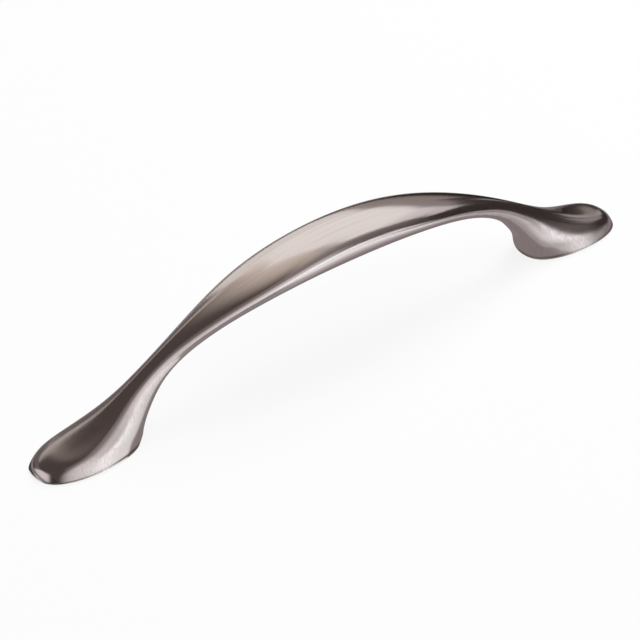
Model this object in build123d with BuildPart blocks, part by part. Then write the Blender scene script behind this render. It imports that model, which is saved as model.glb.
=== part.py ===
from build123d import *

import math
import os

import numpy as np

# Arch pull: one casting with a domed grip, two slim necks and two spoon-shaped feet.
# Sizes in millimetres. X runs along the grip, Y across it, and Z stands off the drawer front.
# The origin is midway between the screws, on the mounting face. A reach is measured outwards
# from a screw axis, towards the toe, and a setback inwards, towards the middle of the grip.
screw_spacing = 96.0  # between the axes of the two tapped holes
projection = 26.0  # mounting face to the top of the grip

# Middle of the grip
grip_width = 10.7
grip_thickness = 7.1

# Shoulder, where the grip has begun to fall and to taper
shoulder_distance = 19.9  # from the middle of the grip
shoulder_height = 22.8
shoulder_width = 9.7
shoulder_thickness = 4.9
shoulder_tilt = 19.0  # of this section from upright, in degrees

# Neck, the slimmest section
neck_setback = 8.0
neck_height = 13.9
neck_width = 4.4
neck_thickness = 3.9
neck_tilt = 42.0

# Ankle, a sloping section from the bend above the heel up to the instep
instep_reach = 0.8
instep_height = 8.6
bend_setback = 6.7
bend_height = 6.9
ankle_width = 5.6

# Crest of the spoon, and the heel's wall below the bend
crest_reach = 12.4
crest_height = 3.7
heel_wall_setback = 4.3
heel_wall_height = 2.6
crest_width = 9.5

# Rim, just under the spoon's rounded edge
rim_reach = 16.2
rim_height = 2.3
rim_setback = 4.2
rim_heel_height = 1.2
rim_width = 10.7

# Sole, the flat footprint on the drawer front
toe_reach = 17.4
heel_setback = 3.5
sole_width = 12.1
sole_edge_chamfer = 0.35

# Blind holes, drilled to the core size of an M4 thread
tap_drill_diameter = 3.3
tap_depth = 6.5
lead_in_diameter = 4.2
lead_in_angle = 90.0

# How square each section is: the reach of its flat top and underside as a share of its half
# width, then the heights of its lower and upper side handles as shares of its thickness
grip_shape = (0.90, 0.15, 0.60)
shoulder_shape = (0.90, 0.12, 0.51)
neck_shape = (0.92, 0.08, 0.40)
ankle_shape = (1.08, 0.00, 0.62)
crest_shape = (1.08, 0.05, 0.95)
rim_shape = (0.92, 0.14, 0.81)
sole_shape = (0.86, 0.21, 0.80)

section_count = 61  # along the whole pull, odd so that one falls on the middle


def tilted(top_x, top_z, thickness, tilt):
    # Both ends of a section that leans from upright: on the top line, then on the underside
    lean = math.radians(tilt)
    return top_x, top_z, top_x - thickness * math.sin(lean), top_z - thickness * math.cos(lean)


def smooth_rows(stations, count):
    # A natural cubic curve through the stations, read at evenly spaced places along it
    steps = np.diff(stations, axis=0)
    gaps = np.linalg.norm(steps, axis=1)
    places = np.concatenate([[0.0], np.cumsum(gaps)])
    slopes = steps / gaps[:, None]
    system = np.eye(len(stations))
    loads = np.zeros_like(stations)
    for i in range(1, len(gaps)):
        system[i, i - 1 : i + 2] = gaps[i - 1], 2.0 * (gaps[i - 1] + gaps[i]), gaps[i]
        loads[i] = 6.0 * (slopes[i] - slopes[i - 1])
    bends = np.linalg.solve(system, loads)
    rows = []
    for place in np.linspace(0.0, places[-1], count):
        i = min(np.searchsorted(places, place, side="right"), len(gaps)) - 1
        ahead = places[i + 1] - place
        behind = place - places[i]
        curve = (bends[i] * ahead**3 + bends[i + 1] * behind**3) / (6.0 * gaps[i])
        from_last = (stations[i] / gaps[i] - bends[i] * gaps[i] / 6.0) * ahead
        to_next = (stations[i + 1] / gaps[i] - bends[i + 1] * gaps[i] / 6.0) * behind
        rows.append(curve + from_last + to_next)
    return rows


def half_section(top_x, top_z, under_x, under_z, width, spread, low, high):
    # The far half of a section: one curve from the underside round to the top, and the middle
    # line back. The curve's two side handles stand out so far that it just reaches the width.
    run = top_x - under_x
    lift = top_z - under_z
    thickness = math.hypot(run, lift)
    flat = spread * width / 2.0
    bulge = 0.8 * width - 0.5 * flat
    under, top = (0.0, 0.0), (0.0, thickness)
    plane = Plane(origin=(under_x, 0.0, under_z), x_dir=(0.0, 1.0, 0.0), z_dir=(lift, 0.0, -run))
    with BuildSketch(plane) as sketch:
        with BuildLine():
            low_side, high_side = (bulge, low * thickness), (bulge, high * thickness)
            Bezier(under, (flat, 0.0), low_side, high_side, (flat, thickness), top)
            Line(top, under)
        make_face()
    return sketch.sketch


screw = screw_spacing / 2.0
grip = (0.0, projection, 0.0, projection - grip_thickness)
shoulder = tilted(shoulder_distance, shoulder_height, shoulder_thickness, shoulder_tilt)
neck = tilted(screw - neck_setback, neck_height, neck_thickness, neck_tilt)
ankle = (screw + instep_reach, instep_height, screw - bend_setback, bend_height)
crest = (screw + crest_reach, crest_height, screw - heel_wall_setback, heel_wall_height)
rim = (screw + rim_reach, rim_height, screw - rim_setback, rim_heel_height)
sole = (screw + toe_reach, 0.0, screw - heel_setback, 0.0)

# Stations of one half, from the middle outwards
half_stations = np.array([
    (*grip, grip_width, *grip_shape),
    (*shoulder, shoulder_width, *shoulder_shape),
    (*neck, neck_width, *neck_shape),
    (*ankle, ankle_width, *ankle_shape),
    (*crest, crest_width, *crest_shape),
    (*rim, rim_width, *rim_shape),
    (*sole, sole_width, *sole_shape),
])
other_half = half_stations[:0:-1] * (-1, 1, -1, 1, 1, 1, 1, 1)
rows = smooth_rows(np.concatenate([other_half, half_stations]), section_count)
sections = [half_section(*row.tolist()) for row in rows]

with BuildPart() as pull:
    loft(sections)
    mirror(about=Plane.XZ)
    sole_edges = pull.edges().group_by(Axis.Z)[0]
    chamfer(sole_edges, sole_edge_chamfer)
    with Locations(Plane(origin=(0.0, 0.0, 0.0), z_dir=(0.0, 0.0, -1.0))):
        with GridLocations(screw_spacing, 0.0, 2, 1):
            CounterSinkHole(tap_drill_diameter / 2.0, lead_in_diameter / 2.0, tap_depth, lead_in_angle)

pull.part.label = "pull"
os.makedirs("parts", exist_ok=True)
export_step(pull.part, "parts/pull.step")
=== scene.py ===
import math

import bpy
import bmesh
import numpy as np
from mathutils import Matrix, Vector


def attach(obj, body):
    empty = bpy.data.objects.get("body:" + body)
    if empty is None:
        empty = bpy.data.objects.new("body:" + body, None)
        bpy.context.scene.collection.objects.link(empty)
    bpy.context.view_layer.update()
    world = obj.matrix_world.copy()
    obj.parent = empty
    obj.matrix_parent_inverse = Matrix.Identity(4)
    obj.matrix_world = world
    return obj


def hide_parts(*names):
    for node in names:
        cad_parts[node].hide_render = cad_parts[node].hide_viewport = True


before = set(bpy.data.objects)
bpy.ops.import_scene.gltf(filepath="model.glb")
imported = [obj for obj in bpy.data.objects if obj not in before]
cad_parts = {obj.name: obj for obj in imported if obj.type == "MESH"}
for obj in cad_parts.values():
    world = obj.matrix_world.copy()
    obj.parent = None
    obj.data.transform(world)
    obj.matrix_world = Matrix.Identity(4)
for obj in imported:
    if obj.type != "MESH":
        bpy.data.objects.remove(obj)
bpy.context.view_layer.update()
mm = 0.001
mergeGap = 1e-7  # metres: points nearer than this are one
print("frame loaded")


def startClean():
    if bpy.context.object and bpy.context.object.mode != "OBJECT":
        bpy.ops.object.mode_set(mode="OBJECT")
    bpy.ops.object.select_all(action="DESELECT")


def onlySelect(obj):
    startClean()
    obj.select_set(True)
    bpy.context.view_layer.objects.active = obj


def applyModifier(obj, kind, **values):
    onlySelect(obj)
    made = obj.modifiers.new(kind.title(), kind)
    for key, value in values.items():
        setattr(made, key, value)
    bpy.ops.object.modifier_apply(modifier=made.name)


def turnOutwards():  # every face of the mesh in edit mode, and back to object mode
    bpy.ops.mesh.select_all(action="SELECT")
    bpy.ops.mesh.normals_make_consistent(inside=False)
    bpy.ops.object.mode_set(mode="OBJECT")


# A flat grid is rolled into a tube: rows follow the length, columns go round, the seam is merged
def rollSheet(name, rows, columns, placePoint):
    startClean()
    bpy.ops.mesh.primitive_grid_add(x_subdivisions=rows, y_subdivisions=columns,
                                    size=1.0, calc_uvs=True)
    tube = bpy.context.object
    tube.name = tube.data.name = name
    bpy.ops.object.mode_set(mode="EDIT")
    sheet = bmesh.from_edit_mesh(tube.data)
    for vert in sheet.verts:  # the grid starts half its size from the middle
        row = round((vert.co.x + 0.5) * rows)
        column = round((vert.co.y + 0.5) * columns) % columns
        vert.co = placePoint(row, column)
    bmesh.update_edit_mesh(tube.data)
    bpy.ops.mesh.select_all(action="SELECT")
    bpy.ops.mesh.remove_doubles(threshold=mergeGap)
    turnOutwards()
    return tube


def selectRim(obj):  # leaves the open edges selected, in edit mode
    onlySelect(obj)
    bpy.ops.object.mode_set(mode="EDIT")
    bpy.ops.mesh.select_mode(type="EDGE")
    bpy.ops.mesh.select_all(action="DESELECT")
    bpy.ops.mesh.select_non_manifold(extend=False, use_wire=False, use_boundary=True,
                                     use_multi_face=False, use_non_contiguous=False,
                                     use_verts=False)


# The casting

pullSet = {
    # Millimetres, from the middle out to the toe: top x, top z, under x, under z, width,
    # then how square the section is: flat reach, low side, high side
    "sections": {
        "grip": (0.0, 26.0, 0.0, 18.9, 10.7, 0.90, 0.15, 0.60),
        "shoulder": (19.9, 22.8, 18.3, 18.17, 9.7, 0.90, 0.12, 0.51),
        "neck": (40.0, 13.9, 37.4, 11.0, 4.4, 0.92, 0.08, 0.40),
        "ankle": (48.8, 8.6, 41.3, 6.9, 5.6, 1.08, 0.0, 0.62),
        "crest": (60.4, 3.7, 43.7, 2.6, 9.5, 1.08, 0.05, 0.95),
        "rim": (64.2, 2.3, 43.8, 1.2, 10.7, 0.92, 0.14, 0.81),
        "sole": (65.4, 0.0, 44.5, 0.0, 12.1, 0.86, 0.21, 0.80),
    },
    "soleChamfer": 0.35,
    "screwX": 48.0,
    "rows": 120,
    "columns": 48,
    "smoothAngle": 30.0,  # degrees: edges that turn more stay sharp
}


def smoothRows(stations, count):  # natural cubic through the stations, read at even places
    steps = np.diff(stations, axis=0)
    gaps = np.linalg.norm(steps, axis=1)
    places = np.concatenate([[0.0], np.cumsum(gaps)])
    slopes = steps / gaps[:, None]
    system = np.eye(len(stations))
    loads = np.zeros_like(stations)
    for i in range(1, len(gaps)):
        system[i, i - 1:i + 2] = gaps[i - 1], 2.0 * (gaps[i - 1] + gaps[i]), gaps[i]
        loads[i] = 6.0 * (slopes[i] - slopes[i - 1])
    bends = np.linalg.solve(system, loads)
    rows = []
    for place in np.linspace(0.0, places[-1], count):
        i = min(np.searchsorted(places, place, side="right"), len(gaps)) - 1
        ahead = places[i + 1] - place
        behind = place - places[i]
        curve = (bends[i] * ahead**3 + bends[i + 1] * behind**3) / (6.0 * gaps[i])
        fromLast = (stations[i] / gaps[i] - bends[i] * gaps[i] / 6.0) * ahead
        toNext = (stations[i + 1] / gaps[i] - bends[i + 1] * gaps[i] / 6.0) * behind
        rows.append(curve + fromLast + toNext)
    return rows


def sectionPoint(row, turn):  # turn 0 is the middle of the underside, 0.5 the middle of the top
    topX, topZ, underX, underZ, width, spread, low, high = row
    side = 1.0 if turn <= 0.5 else -1.0
    t = 2.0 * turn if turn <= 0.5 else 2.0 - 2.0 * turn
    flat = spread * width / 2.0
    bulge = 0.8 * width - 0.5 * flat  # the curve then just reaches the width
    acrossHandles = (0.0, flat, bulge, bulge, flat, 0.0)
    upHandles = (0.0, 0.0, low, high, 1.0, 1.0)
    last = len(upHandles) - 1
    weights = [math.comb(last, k) * t**k * (1.0 - t)**(last - k) for k in range(last + 1)]
    across = sum(w * h for w, h in zip(weights, acrossHandles))
    up = sum(w * h for w, h in zip(weights, upHandles))
    x = underX + up * (topX - underX)
    z = underZ + up * (topZ - underZ)
    return Vector((x, side * across, z)) * mm


def makePull():
    half = np.array(list(pullSet["sections"].values()))
    other = half[:0:-1] * (-1, 1, -1, 1, 1, 1, 1, 1)  # both places along x change sign
    rows = smoothRows(np.concatenate([other, half]), pullSet["rows"] + 1)
    columns = pullSet["columns"]
    pull = rollSheet("pullBody", pullSet["rows"], columns,
                     lambda row, column: sectionPoint(rows[row], column / columns))
    applyModifier(pull, "SUBSURF", levels=1, render_levels=1)

    # Trim both feet at the top of the chamfer, then run the rim down and in to the sole
    chamfer = pullSet["soleChamfer"] * mm
    onlySelect(pull)
    bpy.ops.object.mode_set(mode="EDIT")
    bpy.ops.mesh.select_all(action="SELECT")
    bpy.ops.mesh.bisect(plane_co=(0.0, 0.0, chamfer), plane_no=(0.0, 0.0, 1.0),
                        clear_inner=True, threshold=mergeGap)
    selectRim(pull)
    bpy.ops.mesh.extrude_edges_move(TRANSFORM_OT_translate={"value": (0.0, 0.0, -chamfer)})
    toeX, _, heelX, _, soleWidth = pullSet["sections"]["sole"][:5]
    soleMiddle = (toeX + heelX) / 2.0 * mm
    lengthShare = 1.0 - 2.0 * chamfer / ((toeX - heelX) * mm)
    widthShare = 1.0 - 2.0 * chamfer / (soleWidth * mm)
    lowest = bmesh.from_edit_mesh(pull.data)
    for side in (-1.0, 1.0):
        for vert in lowest.verts:
            vert.select_set(vert.co.z < chamfer * 0.5 and vert.co.x * side > 0.0)
        lowest.select_flush(True)
        bmesh.update_edit_mesh(pull.data)
        bpy.ops.transform.resize(value=(lengthShare, widthShare, 1.0),
                                 center_override=(side * soleMiddle, 0.0, 0.0))
        bpy.ops.mesh.edge_face_add()
    turnOutwards()
    return pull


# The tapped holes: an M4 thread cut up into each sole

tapSet = {
    "coreRadius": 1.65,  # millimetres
    "outerRadius": 2.0,
    "leadRadius": 2.1,
    "pitch": 0.7,
    "depth": 6.5,
    "standOut": 1.0,  # how far the tool starts below the sole
    "rootEnd": 0.125,  # pitches from a groove's middle to the end of its flat root
    "crestStart": 0.375,  # and to the start of the flat crest
    "plainEnd": 0.5,  # pitches of plain bore above the thread
    "rowsPerPitch": 10,
    "columns": 40,
}


def noneToAll(value):
    return min(max(value, 0.0), 1.0)


def threadRadius(z, turn):  # V groove with a flat root and crest, wound once per pitch
    core, outer = tapSet["coreRadius"], tapSet["outerRadius"]
    rootEnd, crestStart = tapSet["rootEnd"], tapSet["crestStart"]
    fromGroove = abs((z / tapSet["pitch"] - turn) % 1.0 - 0.5)
    wall = core + noneToAll((crestStart - fromGroove) / (crestStart - rootEnd)) * (outer - core)
    runOut = noneToAll((tapSet["depth"] - z) / tapSet["pitch"] - tapSet["plainEnd"])
    wall = core + (wall - core) * runOut
    return max(wall, tapSet["leadRadius"] - z)


def tapHole(pull, centreX):
    columns = tapSet["columns"]
    rows = round(tapSet["depth"] / tapSet["pitch"] * tapSet["rowsPerPitch"])

    def place(row, column):
        z = tapSet["depth"] * row / rows
        turn = column / columns
        radius = threadRadius(z, turn)
        if row == 0:
            z = -tapSet["standOut"]
        angle = 2.0 * math.pi * turn
        return Vector((centreX + radius * math.cos(angle), radius * math.sin(angle), z)) * mm

    tap = rollSheet("tap", rows, columns, place)
    selectRim(tap)
    bpy.ops.mesh.edge_face_add()
    turnOutwards()
    applyModifier(pull, "BOOLEAN", operation="DIFFERENCE", solver="EXACT", object=tap)
    bpy.data.objects.remove(tap)


pull = makePull()
print("pull rolled and soled:", len(pull.data.polygons), "faces")
for side in (-1.0, 1.0):
    tapHole(pull, side * pullSet["screwX"])
onlySelect(pull)
bpy.ops.object.shade_smooth_by_angle(angle=math.radians(pullSet["smoothAngle"]))
print("holes tapped:", len(pull.data.polygons), "faces")


def newMaterial(name):
    material = bpy.data.materials.new(name)
    material.use_nodes = True
    return material, material.node_tree


def addNode(tree, kind, *sources, **values):  # sources: links or values for its first sockets
    node = tree.nodes.new(kind)
    for key, value in values.items():
        setattr(node, key, value)
    for socket, source in zip(node.inputs, sources):
        if isinstance(source, bpy.types.NodeSocket):
            tree.links.new(source, socket)
        else:
            socket.default_value = source
    return node


# Satin nickel: brushed along the grip and over the spoons, and upright on the sides of the feet

nickelSet = {
    "color": (0.79, 0.735, 0.727, 1.0),
    "deepColor": (0.735, 0.68, 0.67, 1.0),  # in the bottom of the brush lines
    "deepEnd": 0.5,  # share of a line's height at which that colour is gone
    "topRoughness": 0.16,
    "sideRoughness": 0.22,
    "lineRoughness": 0.05,
    "alongLines": (7.0, 260.0, 1.0),  # how often lines come along the pull and round it
    "uprightLines": (3200.0, 3200.0, 60.0),  # and in a metre along, across and up
    "lineDetail": 3.0,
    "lineEdges": (0.3, 0.7),  # of the noise: a line's bottom and its top
    "lineDepth": 0.0000015,
    "sideLineShare": 0.2,  # how deep the upright lines are beside the others
    "footFrom": (0.24, 0.32),  # where the feet begin, as shares of the map from its middle
    "sideFrom": (0.10, 0.19),  # where the sides begin, as shares of the way round from the top
}


def satinNickel():
    material, tree = newMaterial("satinNickel")
    links = tree.links
    shader = tree.nodes["Principled BSDF"]
    shader.inputs["Metallic"].default_value = 1.0

    def ramp(source, low, high, toLow=0.0, toHigh=1.0):
        node = addNode(tree, "ShaderNodeMapRange", source, low, high, toLow, toHigh,
                       interpolation_type="SMOOTHSTEP")
        return node.outputs[0]

    def math2(operation, first, second=0.0):
        return addNode(tree, "ShaderNodeMath", first, second, operation=operation).outputs[0]

    def brushLines(coordinates, scale):
        mapping = addNode(tree, "ShaderNodeMapping", coordinates)
        mapping.inputs["Scale"].default_value = scale
        noise = addNode(tree, "ShaderNodeTexNoise", mapping.outputs[0])
        noise.inputs["Scale"].default_value = 1.0
        noise.inputs["Detail"].default_value = nickelSet["lineDetail"]
        return noise.outputs[0]

    place = addNode(tree, "ShaderNodeTexCoord")
    split = addNode(tree, "ShaderNodeSeparateXYZ", place.outputs["UV"])
    fromMiddle = math2("ABSOLUTE", math2("SUBTRACT", split.outputs[0], 0.5))
    fromTop = math2("ABSOLUTE", math2("SUBTRACT", split.outputs[1], 0.5))
    footSide = math2("MULTIPLY", ramp(fromMiddle, *nickelSet["footFrom"]),
                     ramp(fromTop, *nickelSet["sideFrom"]))

    lines = addNode(tree, "ShaderNodeMix", footSide, data_type="FLOAT")
    links.new(brushLines(place.outputs["UV"], nickelSet["alongLines"]), lines.inputs[2])
    links.new(brushLines(place.outputs["Object"], nickelSet["uprightLines"]), lines.inputs[3])
    line = ramp(lines.outputs[0], *nickelSet["lineEdges"])

    color = addNode(tree, "ShaderNodeMix", ramp(line, 0.0, nickelSet["deepEnd"]), data_type="RGBA")
    color.inputs[6].default_value = nickelSet["deepColor"]
    color.inputs[7].default_value = nickelSet["color"]
    links.new(color.outputs[2], shader.inputs["Base Color"])

    rough = ramp(footSide, 0.0, 1.0, nickelSet["topRoughness"], nickelSet["sideRoughness"])
    spread = math2("MULTIPLY", math2("SUBTRACT", 0.5, line), nickelSet["lineRoughness"])
    links.new(math2("ADD", rough, spread), shader.inputs["Roughness"])

    bump = addNode(tree, "ShaderNodeBump")
    bump.inputs["Distance"].default_value = nickelSet["lineDepth"]
    links.new(ramp(footSide, 0.0, 1.0, 1.0, nickelSet["sideLineShare"]), bump.inputs["Strength"])
    links.new(line, bump.inputs["Height"])
    links.new(bump.outputs[0], shader.inputs["Normal"])
    return material


pull.data.materials.clear()
pull.data.materials.append(satinNickel())
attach(pull, "root")
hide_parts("pull")
print("nickel plated")


# Studio: a pale floor, soft lamps, and the cards and dark tent that the metal mirrors

studioSet = {
    "floorSize": 2.4,
    "floorDrop": 0.0001,  # below the soles
    "floorColor": (0.88, 0.88, 0.88, 1.0),
    "floorWhite": 0.85,  # share of plain white, the rest shows the shadow
    "tentRadius": 2.0,
    "tentSegments": 48,
    "tentRings": 24,
    "tentColor": (0.038, 0.029, 0.027),
    "roomLight": (0.1, 0.1, 0.1, 1.0),
    "roomWhite": (1.0, 1.0, 1.0, 1.0),
}


def whiteRays(tree, share):  # white to the camera, and to metal and glass that mirror it
    path = addNode(tree, "ShaderNodeLightPath")
    total = path.outputs["Is Camera Ray"]
    for ray in ("Is Glossy Ray", "Is Transmission Ray"):
        joined = addNode(tree, "ShaderNodeMath", total, path.outputs[ray], operation="MAXIMUM")
        total = joined.outputs[0]
    return addNode(tree, "ShaderNodeMath", total, share, operation="MULTIPLY").outputs[0]


def showMix(tree, output, share, first, second):  # share is how much of the second shows
    mix = addNode(tree, "ShaderNodeMixShader", share, first.outputs[0], second.outputs[0])
    tree.links.new(mix.outputs[0], tree.nodes[output].inputs["Surface"])


def makeFloor():
    startClean()
    bpy.ops.mesh.primitive_plane_add(size=studioSet["floorSize"],
                                     location=(0.0, 0.0, -studioSet["floorDrop"]))
    floor = bpy.context.object
    floor.name = "floor"
    material, tree = newMaterial("paleFloor")
    shader = tree.nodes["Principled BSDF"]
    shader.inputs["Base Color"].default_value = studioSet["floorColor"]
    shader.inputs["Roughness"].default_value = 1.0
    shader.inputs["Specular IOR Level"].default_value = 0.0
    glow = addNode(tree, "ShaderNodeEmission")
    showMix(tree, "Material Output", whiteRays(tree, studioSet["floorWhite"]), shader, glow)
    floor.data.materials.append(material)


def makeWorld():
    world = bpy.data.worlds.new("studio")
    bpy.context.scene.world = world
    world.use_nodes = True
    tree = world.node_tree
    room = tree.nodes["Background"]
    room.inputs["Color"].default_value = studioSet["roomLight"]
    white = addNode(tree, "ShaderNodeBackground", studioSet["roomWhite"])
    showMix(tree, "World Output", whiteRays(tree, 1.0), room, white)


def onlyMirrored(obj, color, fade=None):  # it shows in the metal and nowhere else
    material, tree = newMaterial(obj.name)
    tree.nodes.remove(tree.nodes["Principled BSDF"])
    glow = addNode(tree, "ShaderNodeEmission", (*color, 1.0))
    if fade:  # whole at a middle, then softly out to nothing
        middle, reach, softness = fade
        place = addNode(tree, "ShaderNodeTexCoord")
        mapping = addNode(tree, "ShaderNodeMapping", place.outputs["Object"], vector_type="TEXTURE")
        mapping.inputs["Location"].default_value = middle
        mapping.inputs["Scale"].default_value = reach
        ball = addNode(tree, "ShaderNodeTexGradient", mapping.outputs[0], gradient_type="SPHERICAL")
        soften = addNode(tree, "ShaderNodeMapRange", ball.outputs["Fac"], 0.0, softness,
                         interpolation_type="SMOOTHSTEP")
        clear = addNode(tree, "ShaderNodeBsdfTransparent")
        showMix(tree, "Material Output", soften.outputs[0], clear, glow)
    else:
        tree.links.new(glow.outputs[0], tree.nodes["Material Output"].inputs["Surface"])
    obj.data.materials.append(material)
    obj.visible_camera = obj.visible_diffuse = False
    obj.visible_transmission = obj.visible_shadow = False


def makeTent():
    startClean()
    bpy.ops.mesh.primitive_uv_sphere_add(segments=studioSet["tentSegments"],
                                         ring_count=studioSet["tentRings"],
                                         radius=studioSet["tentRadius"])
    tent = bpy.context.object
    tent.name = "darkTent"
    onlyMirrored(tent, studioSet["tentColor"])


# Each card: its colour, the plane that it lies in, its corners there in metres, and for soft
# edges their middle, reach and softness. Right is +x, behind is +y.
cardSet = {
    "softBox": {  # overhead, to the right
        "color": (0.906, 0.871, 0.838), "plane": ("z", 0.3),
        "corners": [(0.014, 0.608), (0.021, 0.053), (0.242, -0.324), (0.394, -0.287),
                    (0.467, -0.125), (0.449, 0.728)]},
    "wing": {  # lower, to the right of the far foot
        "color": (0.745, 0.699, 0.696), "plane": ("z", 0.1),
        "corners": [(0.133, 0.034), (0.088, -0.065), (0.206, -0.093), (0.332, -0.066),
                    (0.34, -0.012), (0.184, 0.012)],
        "fade": ((0.0554, 0.0273), (0.1945, 0.1702), 0.47)},
    "backPanel": {  # upright, behind
        "color": (0.791, 0.744, 0.708), "plane": ("y", 0.42),
        "corners": [(-0.001, 0.352), (0.635, 0.421), (0.222, 0.023), (0.049, 0.057)]},
    "rightPanel": {  # overhead, further to the right
        "color": (0.277, 0.239, 0.236), "plane": ("z", 0.304),
        "corners": [(0.501, 0.334), (0.506, 0.005), (0.819, 0.102), (0.785, 0.873)]},
    "rightBack": {  # upright, behind on the right
        "color": (0.278, 0.236, 0.223), "plane": ("y", 0.41),
        "corners": [(0.514, 0.475), (0.901, 0.054), (0.774, 0.179), (0.221, 0.0005)]},
    "leftBack": {  # upright, behind on the left
        "color": (0.15, 0.133, 0.126), "plane": ("y", 0.43),
        "corners": [(0.136, 0.44), (0.1736, 0.0093), (-0.648, 0.125), (-0.373, 0.481)]},
    "tanCard": {  # over the grip and the near foot
        "color": (0.664, 0.574, 0.5), "plane": ("z", 0.15),
        "corners": [(-0.113, 0.186), (-0.107, -0.208), (0.095, -0.186), (0.04, -0.036),
                    (0.002, 0.049), (0.046, 0.269)],
        "fade": ((0.0337, 0.0387), (0.1129, 0.2096), 0.82)},
    "frontTan": {  # upright and tall, in front
        "color": (0.414, 0.351, 0.336), "plane": ("y", -0.37),
        "corners": [(-0.191, 0.102), (0.5608, 0.0), (0.846, 0.836), (-0.235, 0.869)],
        "fade": ((0.159, 0.6129), (0.7043, 0.7078), 0.95)},
    "frontGlow": {  # upright and low, in front
        "color": (0.77, 0.725, 0.732), "plane": ("y", -0.36),
        "corners": [(-0.314, 0.0116), (0.1787, 0.0), (0.231, 0.215), (-0.265, 0.383)],
        "fade": ((0.0409, 0.0507), (0.3508, 0.1682), 0.82)},
    "backStrip": {  # overhead, behind on the left
        "color": (0.477, 0.434, 0.399), "plane": ("z", 0.302),
        "corners": [(0.001, 0.278), (0.001, 0.408), (-0.179, 0.488), (-0.262, 0.388)]},
    "ceiling": {  # overhead, all of the left
        "color": (0.076, 0.059, 0.056), "plane": ("z", 0.31),
        "corners": [(0.108, 1.525), (0.065, -1.383), (-0.856, -1.28), (-1.418, 0.725)]},
    "frontCard": {  # a bright strip along the floor, in front
        "color": (1.65, 1.657, 1.697), "plane": ("y", -0.35),
        "corners": [(-0.4545, 0.0), (0.6394, 0.0), (0.662, 0.274)],
        "fade": ((0.2191, -0.0047), (0.2705, 0.0509), 0.55)},
    "leftCard": {  # upright, on the left
        "color": (0.75, 0.7, 0.7), "plane": ("x", -0.5),
        "corners": [(-0.942, 0.042), (0.658, 0.042), (0.288, 0.265), (-0.519, 0.227)],
        "fade": ((0.1778, -0.0881), (0.5065, 0.5202), 0.4)},
    "lowShadeFlag": {  # painted shade just off the floor, under the grip and in front of it, shown only in the metal
        "color": (0.297, 0.269, 0.27), "plane": ("z", 0.01),
        "corners": [(-0.0354, -0.0731), (0.0675, -0.0642), (0.0665, -0.0021), (-0.0335, 0.0192)],
        "fade": ((-0.0448, -0.0536), (0.0564, 0.0896), 0.32)},
    "floorShadowCard": {  # painted shadow of the pull on the floor, under the grip and far behind it, shown only in the metal
        "color": (0.265, 0.231, 0.23), "plane": ("z", 0.0003),
        "corners": [(-0.4526, 0.2007), (-0.0454, -0.0075), (-0.0347, -0.013), (0.0718, -0.013),
                    (0.5243, -0.1369), (0.1981, 0.0082), (0.67, 0.0434), (0.4278, 0.4022),
                    (-0.7671, 0.2897)]},
    "shadowPool": {  # painted shadow on the floor, under the grip and in front of it, shown only in the metal
        "color": (0.256, 0.209, 0.221), "plane": ("z", 0.0005),
        "corners": [(-0.0592, -0.1262), (0.1918, -0.1445), (0.1707, -0.031), (-0.084, 0.0055)],
        "fade": ((0.0312, 0.0109), (0.1003, 0.075), 0.79)},
    "paleCard": {  # on the floor, in front and to the right of the far foot
        "color": (0.441, 0.379, 0.39), "plane": ("z", 0.0002),
        "corners": [(0.0708, -0.0244), (0.1063, -0.199), (0.1179, -0.1617), (0.3709, -0.2174),
                    (0.1148, -0.0254)]},
    "darkCard": {  # on the floor, to the right of the far foot
        "color": (0.0, 0.0, 0.0), "plane": ("z", 0.0004),
        "corners": [(0.0784, -0.1554), (0.0914, 0.0531), (0.1424, -0.05), (0.3046, -0.9915),
                    (1.0338, -1.2111), (1.2334, 1.2058), (0.0799, 0.4461)]},
    "nearContactShadow": {  # painted contact shadow on the floor, close round the near foot, shown only in the metal
        "color": (0.05, 0.042, 0.04), "plane": ("z", 0.0006),
        "corners": [(-0.07, -0.01), (-0.04, -0.01), (-0.04, 0.01), (-0.07, 0.01)],
        "fade": ((-0.0557, 0.0), (0.0126, 0.0078), 0.12)},
    "farContactShadow": {  # and painted contact shadow round the far one, shown only in the metal
        "color": (0.05, 0.042, 0.04), "plane": ("z", 0.0006),
        "corners": [(0.07, -0.01), (0.04, -0.01), (0.04, 0.01), (0.07, 0.01)],
        "fade": ((0.0549, 0.0), (0.0118, 0.0073), 0.12)},
    "crescentCard": {  # small and upright, to the right of the far toe and behind
        "color": (0.367, 0.341, 0.345), "plane": ("y", 0.05),
        "corners": [(0.1329, 0.0092), (0.153, 0.024), (0.176, 0.038), (0.189, 0.042),
                    (0.152, 0.045), (0.134, 0.025)]},
    "toeCard": {  # upright and low, in front on the left
        "color": (0.532, 0.471, 0.46), "plane": ("y", -0.355),
        "corners": [(-0.475, 0.0097), (-0.068, 0.024), (-0.112, 0.127), (-0.59, 0.08)],
        "fade": ((-0.2967, -0.0487), (0.1601, 0.091), 0.5)},
    "tongueCard": {  # small and low, just past the far toe
        "color": (0.628, 0.576, 0.579), "plane": ("z", 0.05),
        "corners": [(0.073, 0.003), (0.076, -0.039), (0.094, -0.032), (0.129, -0.007),
                    (0.127, -0.006), (0.098, 0.002)]},
    "patchCard": {  # small and upright, in front and to the right of the far toe
        "color": (1.084, 1.023, 1.056), "plane": ("y", -0.12),
        "corners": [(0.0799, 0.0156), (0.1785, 0.0088), (0.1528, 0.0126), (0.099, 0.036)]},
}


def makeCard(name, color, plane, corners, fade=None):
    axis, level = plane

    def inPlane(pair, across):  # the pair, with the value across the plane put in its place
        point = list(pair)
        point.insert("xyz".index(axis), across)
        return point

    startClean()
    bpy.ops.mesh.primitive_circle_add(vertices=len(corners), fill_type="NGON")
    card = bpy.context.object
    card.name = name
    for vert, corner in zip(card.data.vertices, corners):
        vert.co = inPlane(corner, level)
    if fade:
        middle, reach, softness = fade
        fade = inPlane(middle, level), inPlane(reach, 1.0), softness
    onlyMirrored(card, color, fade)


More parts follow.
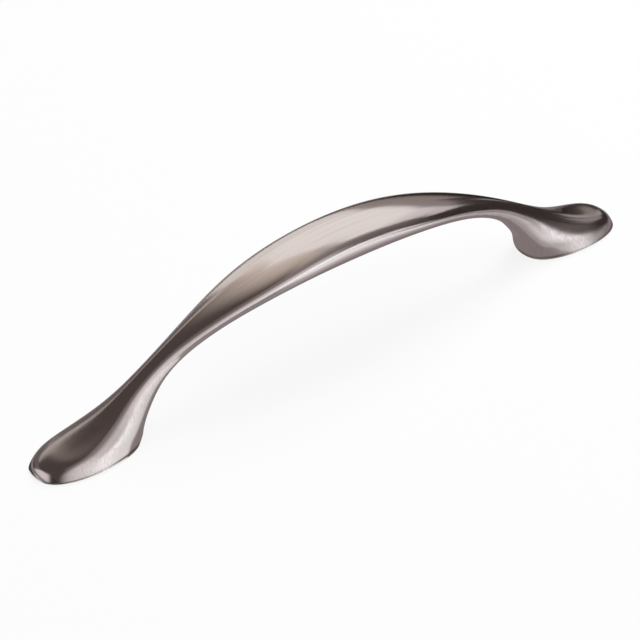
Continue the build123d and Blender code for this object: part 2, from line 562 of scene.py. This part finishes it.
# Each lamp: its middle in metres, its turn in degrees, its size, and how bright its face is
lampSet = {
    "key": {"at": (0.42, 0.22, 0.60), "turn": (-20, 35, 0), "size": (0.4, 0.4), "glow": 5.5},
    "top": {"at": (0.0, -0.2, 1.0), "turn": (11, 0, 0), "size": (1.2, 1.2), "glow": 2.0},
}


def makeLamp(name, at, turn, size, glow):
    data = bpy.data.lights.new(name, "AREA")
    data.shape = "RECTANGLE"
    data.size, data.size_y = size
    data.energy = glow * math.pi * data.size * data.size_y
    obj = bpy.data.objects.new(name, data)
    bpy.context.scene.collection.objects.link(obj)
    obj.location = at
    obj.rotation_euler = [math.radians(angle) for angle in turn]
    obj.visible_camera = obj.visible_glossy = False


cameraSet = {
    "azimuth": -38.48,  # degrees
    "elevation": 34.71,
    "distance": 0.598,
    "looksAt": (0.0, 0.0, 0.0119),
    "lens": 189.6,
    "sensorWidth": 36.0,
    "clipStart": 0.01,
    "imageSize": 640.0,
    "pixelOffset": (15.54, -33.52),  # where the point looked at stands from the image's middle
}


def makeCamera():
    data = bpy.data.cameras.new("camera")
    data.lens = cameraSet["lens"]
    data.sensor_width = cameraSet["sensorWidth"]
    data.clip_start = cameraSet["clipStart"]
    camera = bpy.data.objects.new("camera", data)
    bpy.context.scene.collection.objects.link(camera)
    azimuth = math.radians(cameraSet["azimuth"])
    elevation = math.radians(cameraSet["elevation"])
    back = Vector((math.sin(azimuth) * math.cos(elevation),
                   -math.cos(azimuth) * math.cos(elevation), math.sin(elevation)))
    right = Vector((math.cos(azimuth), math.sin(azimuth), 0.0))
    up = back.cross(right)
    target = Vector(cameraSet["looksAt"])
    camera.location = target + back * cameraSet["distance"]
    perPixel = cameraSet["distance"] * data.sensor_width / data.lens / cameraSet["imageSize"]
    acrossPixels, downPixels = cameraSet["pixelOffset"]
    aim = target - right * acrossPixels * perPixel + up * downPixels * perPixel
    camera.rotation_euler = (aim - camera.location).to_track_quat("-Z", "Y").to_euler()
    bpy.context.scene.camera = camera


makeFloor()
makeWorld()
makeTent()
for cardName, cardValues in cardSet.items():
    makeCard(cardName, **cardValues)
for lampName, lampValues in lampSet.items():
    makeLamp(lampName, **lampValues)
makeCamera()
bpy.context.scene.view_settings.view_transform = "Standard"
print("studio ready")
